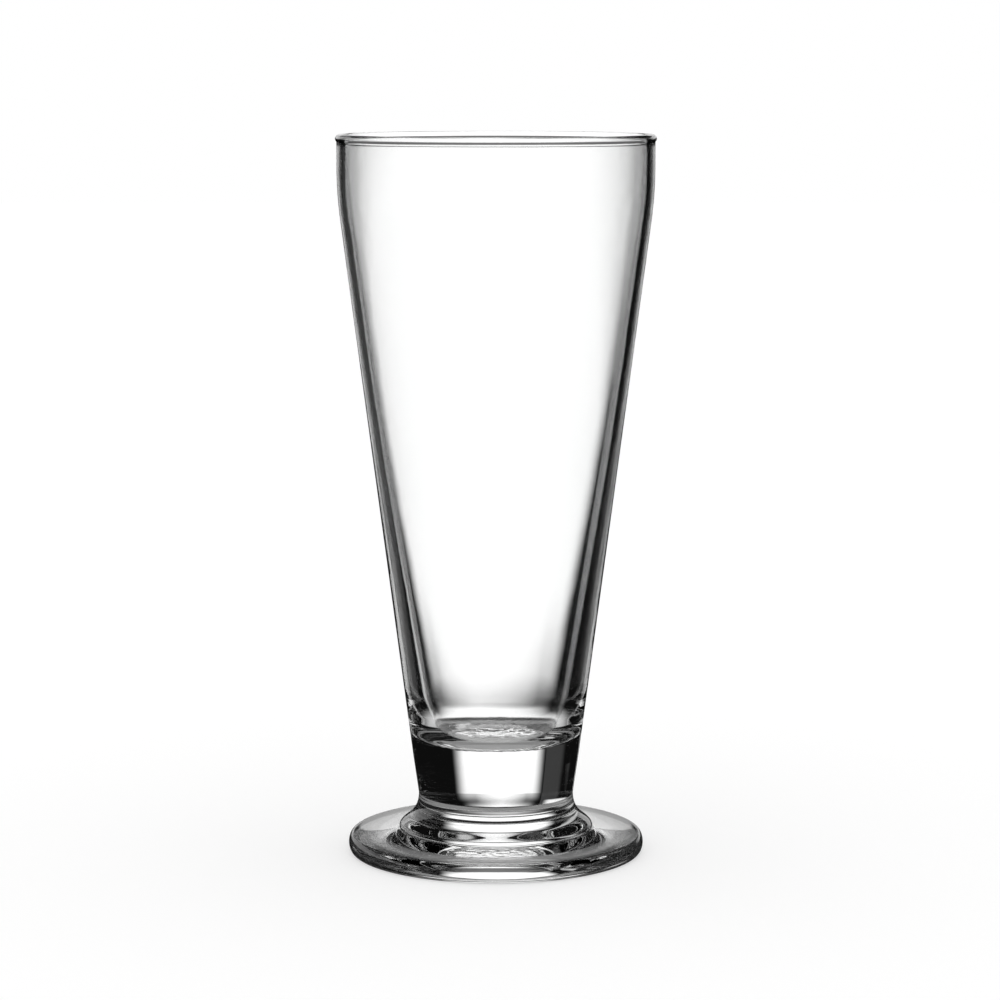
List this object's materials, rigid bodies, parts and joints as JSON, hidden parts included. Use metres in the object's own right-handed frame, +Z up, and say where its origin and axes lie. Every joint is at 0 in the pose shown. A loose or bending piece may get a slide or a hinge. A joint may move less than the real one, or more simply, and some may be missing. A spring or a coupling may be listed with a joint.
{
  "type": "belgian beer glass",
  "caption": "Tall tapering beer glass in clear glass with a rounded lip, thick bottom, short solid stem, flared collar and round foot.",
  "frame": {"origin": "centre of the foot's resting face, on the surface that the glass stands on", "axes": "+Z up along the glass's axis, from the foot to the mouth; the glass is turned, so X and Y are free"},
  "size_m": [0.0818, 0.0818, 0.186],
  "materials": {
    "clear_glass": "polished clear"
  },
  "bodies": {
    "root": {"foot": "clear_glass", "collar": "clear_glass", "stem": "clear_glass", "bowl": "clear_glass"}
  },
  "joints": []
}
